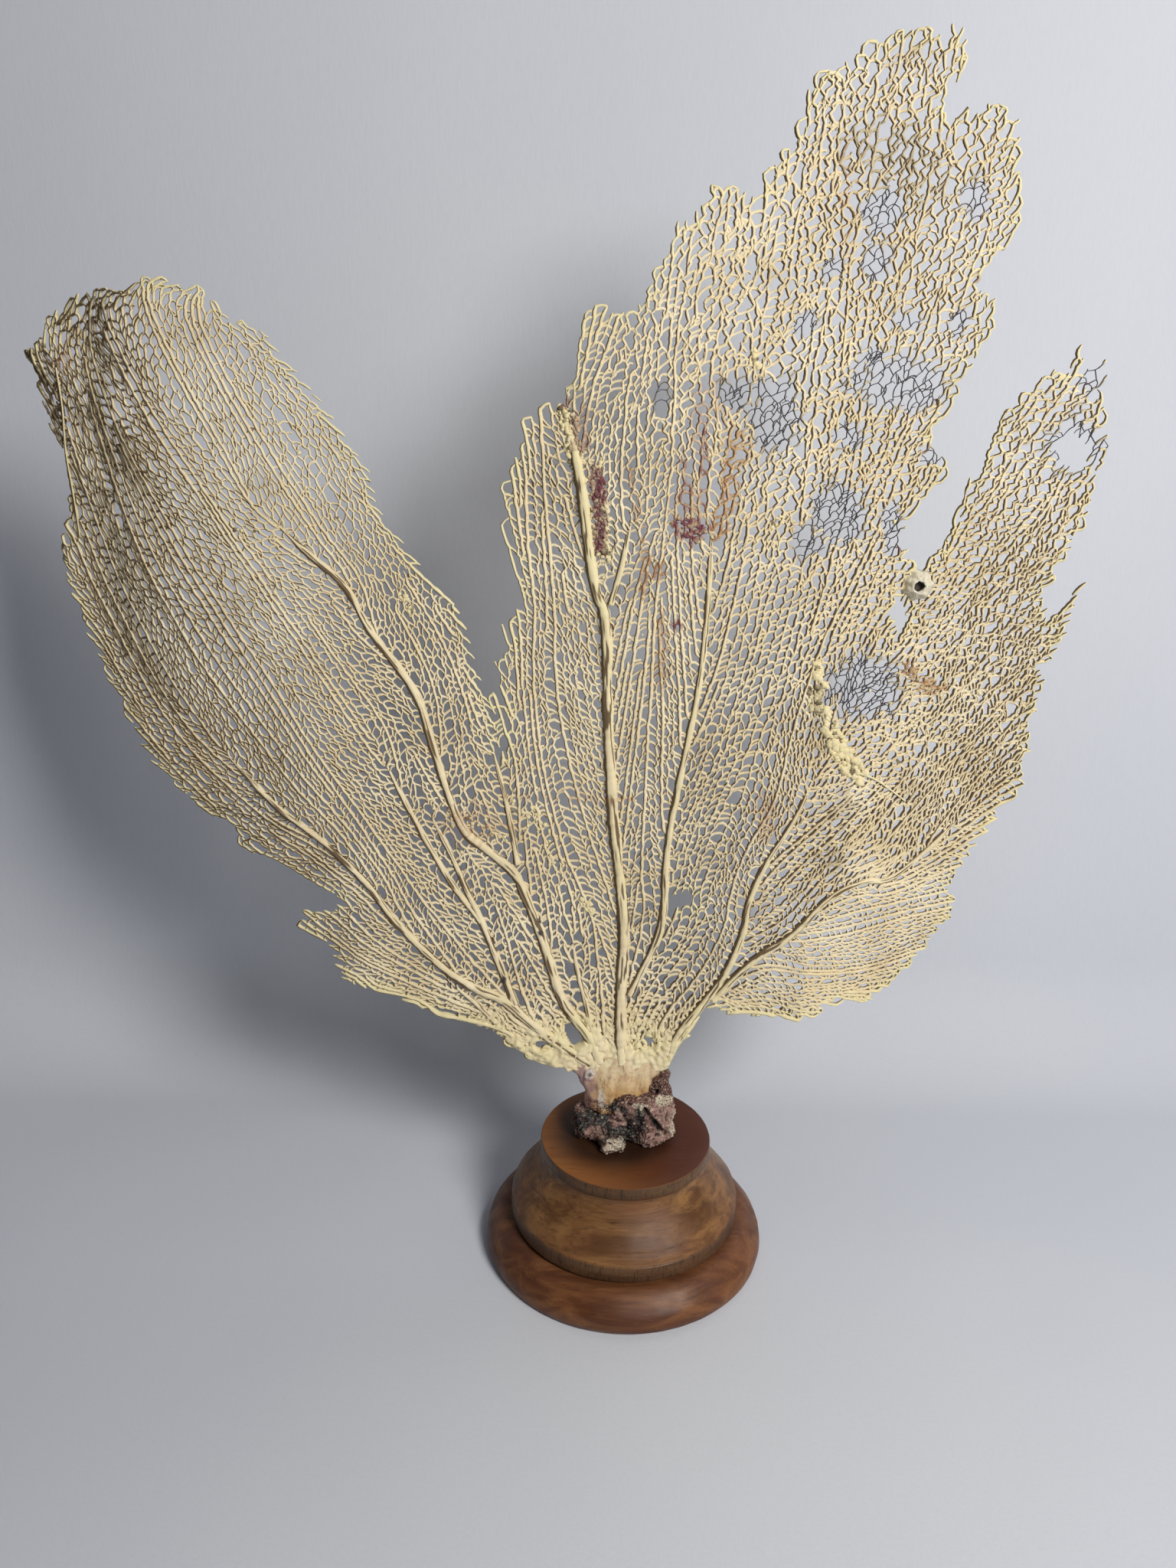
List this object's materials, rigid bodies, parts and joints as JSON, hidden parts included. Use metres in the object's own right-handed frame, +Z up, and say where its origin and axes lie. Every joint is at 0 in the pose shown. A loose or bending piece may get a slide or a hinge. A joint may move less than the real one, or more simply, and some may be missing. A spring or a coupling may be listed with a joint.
{
  "type": "sea fan on a stand",
  "caption": "Dried net-like sea fan with raised ribs and torn edges, fixed upright by its encrusted root on a turned round wooden stand.",
  "frame": {"origin": "centre of the stand's round underside, on the surface that it stands on", "axes": "+Z up along the stand's turned axis; the fan spreads along X and faces -Y"},
  "size_m": [0.3902, 0.12, 0.4641],
  "materials": {
    "turned_wood": "satin",
    "maroon_crust": "rough",
    "ochre_stem": "matte",
    "dried_net": "matte",
    "pale_shell": "matte"
  },
  "bodies": {
    "root": {"turned_stand": "turned_wood", "holdfast": "maroon_crust", "trunk": "ochre_stem", "left_lobe": "dried_net", "centre_lobe": "dried_net", "right_lobe": "dried_net", "barnacle": "pale_shell"}
  },
  "joints": []
}
